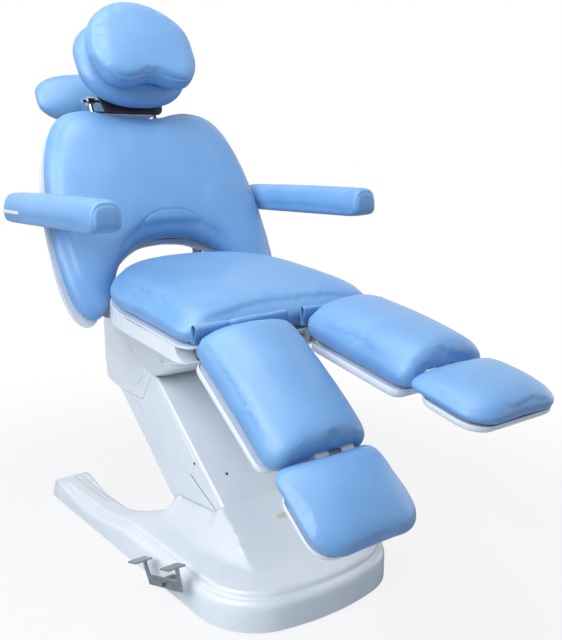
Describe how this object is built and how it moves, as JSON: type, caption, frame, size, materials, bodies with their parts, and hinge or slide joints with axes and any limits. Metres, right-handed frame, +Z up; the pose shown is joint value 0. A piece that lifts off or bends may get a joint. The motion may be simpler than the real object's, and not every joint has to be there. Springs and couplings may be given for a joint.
{
  "type": "podiatry and facial treatment chair",
  "caption": "Treatment chair with padded seat, back, headrest and arm rests, split folding leg rests and an electric lift column on a forked base.",
  "frame": {"origin": "on the floor straight below the lift arm's lower pivot, under the middle levelling foot", "axes": "+Z up, the sitter faces -Y, +X on the sitter's left"},
  "size_m": [0.82, 1.5304, 1.4083],
  "materials": {
    "vinyl": "satin sky blue upholstery vinyl with a fine grain",
    "moulded_shell": "gloss white moulded covers",
    "painted_steel": "dark grey powder coat",
    "pin_steel": "ground steel",
    "bright_steel": "bright plated",
    "pedal_steel": "dull zinc plated steel",
    "black_plastic": "fine textured black moulding",
    "foot_rubber": "matt black",
    "plywood": "raw birch plywood",
    "bare_label": "plain pale plate, left bare"
  },
  "bodies": {
    "base": {"base_shell": "moulded_shell", "base_plate": "painted_steel", "levelling_feet": "foot_rubber", "rating_plate": "bare_label", "mains_inlet": "black_plastic", "control_box": "black_plastic", "lower_pivot_pins": "pin_steel", "pedal_post": "pedal_steel"},
    "pedal": {"pedal_channel": "pedal_steel", "pedal_treads": "pedal_steel"},
    "arm": {"arm_plates": "painted_steel", "column_cover": "moulded_shell", "cover_screws": "black_plastic"},
    "tie": {"tie_link": "painted_steel"},
    "lift_motor": {"lift_motor": "black_plastic"},
    "lift_ram": {"lift_ram": "bright_steel"},
    "carrier": {"carrier_head": "painted_steel", "carrier_cover": "moulded_shell", "upper_pivot_pins": "pin_steel", "tilt_pin": "pin_steel"},
    "seat": {"seat_frame": "painted_steel", "seat_board": "plywood", "seat_pan": "moulded_shell", "seat_cushion": "vinyl", "leg_hinge_pins": "pin_steel", "back_hinge_pins": "pin_steel", "right_flap": "vinyl", "left_flap": "vinyl", "back_motor": "black_plastic"},
    "back": {"back_frame": "painted_steel", "back_shell": "moulded_shell", "back_cushion": "vinyl", "rear_pad_bracket": "bright_steel", "rear_pad": "vinyl", "armrest_pins": "pin_steel"},
    "back_ram": {"back_ram": "bright_steel"},
    "head_slide": {"head_bars": "bright_steel"},
    "head": {"head_board": "black_plastic", "head_cushion": "vinyl", "neck_pillow": "vinyl"},
    "right_armrest": {"right_armrest_core": "black_plastic", "right_armrest_pad": "vinyl"},
    "left_armrest": {"left_armrest_core": "black_plastic", "left_armrest_pad": "vinyl"},
    "right_leg": {"right_leg_frame": "painted_steel", "right_leg_shell": "moulded_shell", "right_calf_cushion": "vinyl", "right_knuckles": "moulded_shell"},
    "left_leg": {"left_leg_frame": "painted_steel", "left_leg_shell": "moulded_shell", "left_calf_cushion": "vinyl", "left_knuckles": "moulded_shell"},
    "right_foot": {"right_foot_bracket": "painted_steel", "right_foot_shell": "moulded_shell", "right_foot_cushion": "vinyl"},
    "left_foot": {"left_foot_bracket": "painted_steel", "left_foot_shell": "moulded_shell", "left_foot_cushion": "vinyl"}
  },
  "joints": [
    {"name": "lift", "type": "hinge", "parent": "base", "child": "arm", "pos_m": [0, 0, 0.097], "axis": [1, 0, 0], "range_deg": [-6, 34]},
    {"name": "carrier_level", "type": "hinge", "parent": "arm", "child": "carrier", "pos_m": [0, 0.42976, 0.44501], "axis": [1, 0, 0], "range_deg": [-34.5, 6.5]},
    {"name": "tie_swing", "type": "hinge", "parent": "base", "child": "tie", "pos_m": [0, -0.03776, 0.14363], "axis": [1, 0, 0], "range_deg": [-6.5, 34.5]},
    {"name": "lift_motor_swing", "type": "hinge", "parent": "base", "child": "lift_motor", "pos_m": [0, 0.0599, 0.05186], "axis": [1, 0, 0], "range_deg": [-7, 34]},
    {"name": "lift_ram_travel", "type": "slide", "parent": "lift_motor", "child": "lift_ram", "axis": [0, 0.6527, 0.7577], "range_m": [-0.009, 0.046]},
    {"name": "seat_tilt", "type": "hinge", "parent": "carrier", "child": "seat", "pos_m": [0, 0.39976, 0.58601], "axis": [1, 0, 0], "range_deg": [-12, 0]},
    {"name": "back_recline", "type": "hinge", "parent": "seat", "child": "back", "pos_m": [0, 0.36996, 0.60001], "axis": [1, 0, 0], "range_deg": [-60, 8]},
    {"name": "back_ram_travel", "type": "slide", "parent": "seat", "child": "back_ram", "axis": [0, 0.9954, -0.0961], "range_m": [-0.085, 0.012]},
    {"name": "head_height", "type": "slide", "parent": "back", "child": "head_slide", "axis": [0, 0.4571, 0.8894], "range_m": [0, 0.12]},
    {"name": "head_tilt", "type": "hinge", "parent": "head_slide", "child": "head", "pos_m": [0, 0.60056, 1.14624], "axis": [1, 0, 0], "range_deg": [-20, 8]},
    {"name": "right_armrest_lift", "type": "hinge", "parent": "back", "child": "right_armrest", "pos_m": [-0.37, 0.45605, 0.86944], "axis": [1, 0, 0], "range_deg": [-95, 25]},
    {"name": "left_armrest_lift", "type": "hinge", "parent": "back", "child": "left_armrest", "pos_m": [0.37, 0.45605, 0.86944], "axis": [1, 0, 0], "range_deg": [-95, 25]},
    {"name": "right_leg_lift", "type": "hinge", "parent": "seat", "child": "right_leg", "pos_m": [-0.146, -0.20504, 0.64001], "axis": [1, 0, 0], "range_deg": [-35.3, 19.7]},
    {"name": "left_leg_lift", "type": "hinge", "parent": "seat", "child": "left_leg", "pos_m": [0.146, -0.20504, 0.64001], "axis": [1, 0, 0], "range_deg": [-9.6, 45.4]},
    {"name": "right_foot_fold", "type": "hinge", "parent": "right_leg", "child": "right_foot", "pos_m": [-0.146, -0.4747, 0.45153], "axis": [1, 0, 0], "range_deg": [-1.7, 28.3]},
    {"name": "left_foot_fold", "type": "hinge", "parent": "left_leg", "child": "left_foot", "pos_m": [0.146, -0.52977, 0.58712], "axis": [1, 0, 0], "range_deg": [-1.7, 28.3]},
    {"name": "pedal_rock", "type": "hinge", "parent": "base", "child": "pedal", "pos_m": [-0.29, -0.092, 0.052], "axis": [1, 0, 0], "range_deg": [-6, 6], "stiffness_Nm_per_rad": 12}
  ],
  "couplings": [
    {"joint": "carrier_level", "follows": "lift", "ratio": -1},
    {"joint": "tie_swing", "follows": "lift", "ratio": 1},
    {"joint": "lift_motor_swing", "follows": "lift", "ratio": 0.97},
    {"joint": "lift_ram_travel", "follows": "lift", "m_per_rad": 0.0735},
    {"joint": "back_ram_travel", "follows": "back_recline", "m_per_rad": 0.08}
  ]
}
